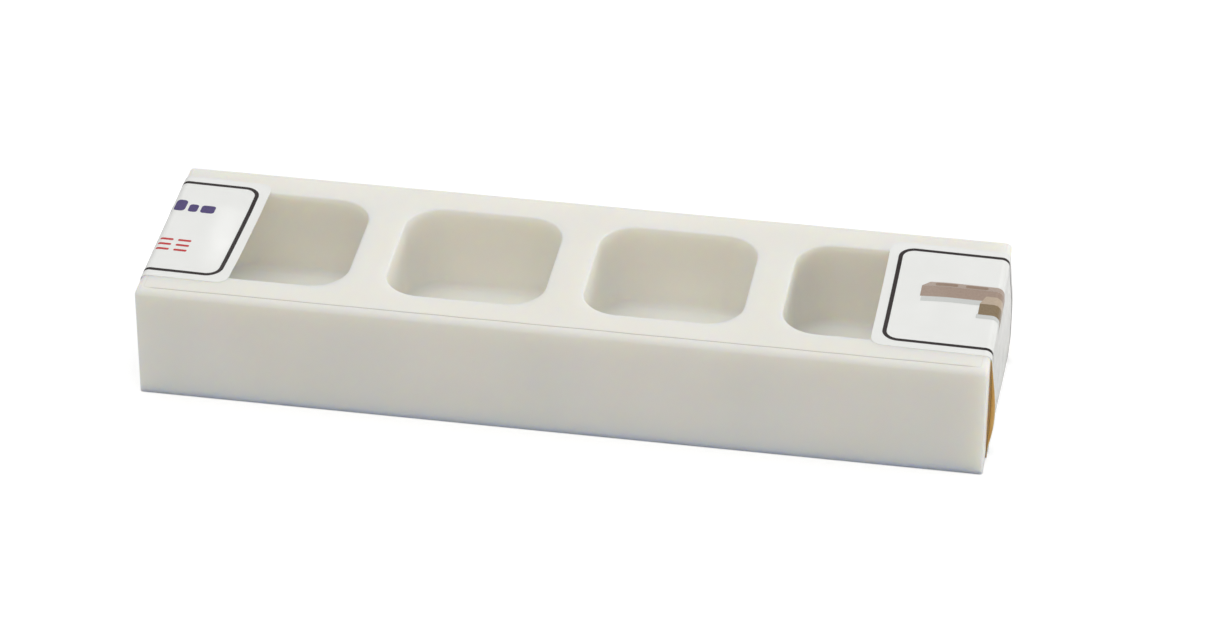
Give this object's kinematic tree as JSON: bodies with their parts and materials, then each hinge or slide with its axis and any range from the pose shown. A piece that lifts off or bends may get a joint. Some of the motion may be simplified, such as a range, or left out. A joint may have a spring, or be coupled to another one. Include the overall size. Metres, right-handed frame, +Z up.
{
  "type": "candle mold",
  "caption": "Soft silicone block mold with a row of rounded-square cavities for small candles, wrapped by a printed label strip with peelable flaps.",
  "frame": {"origin": "on the resting plane (the underside of the label strip), under the middle of the mould block's length and width", "axes": "+X along the row of cavities, +Y towards the back, +Z up out of the cavities"},
  "size_m": [0.2138, 0.0592, 0.0306],
  "materials": {
    "silicone": "satin translucent off-white",
    "label_film": "glossy white printed film",
    "liner_paper": "honey-coloured siliconised backing"
  },
  "bodies": {
    "mould": {"mould_body": "silicone"},
    "label_band": {"label_band": "label_film", "release_liner": "liner_paper"},
    "left_flap": {"label_left_flap": "label_film"},
    "right_flap": {"label_right_flap": "label_film"}
  },
  "joints": [
    {"name": "band_slide", "type": "slide", "parent": "mould", "child": "label_band", "axis": [0, -1, 0], "range_m": [-0.06, 0.06]},
    {"name": "left_flap_peel", "type": "hinge", "parent": "label_band", "child": "left_flap", "pos_m": [-0.10415, 0.00075, 0.03064], "axis": [0, -1, 0], "range_deg": [0, 150]},
    {"name": "right_flap_peel", "type": "hinge", "parent": "label_band", "child": "right_flap", "pos_m": [0.10415, 0.00075, 0.03064], "axis": [0, 1, 0], "range_deg": [0, 150]}
  ]
}
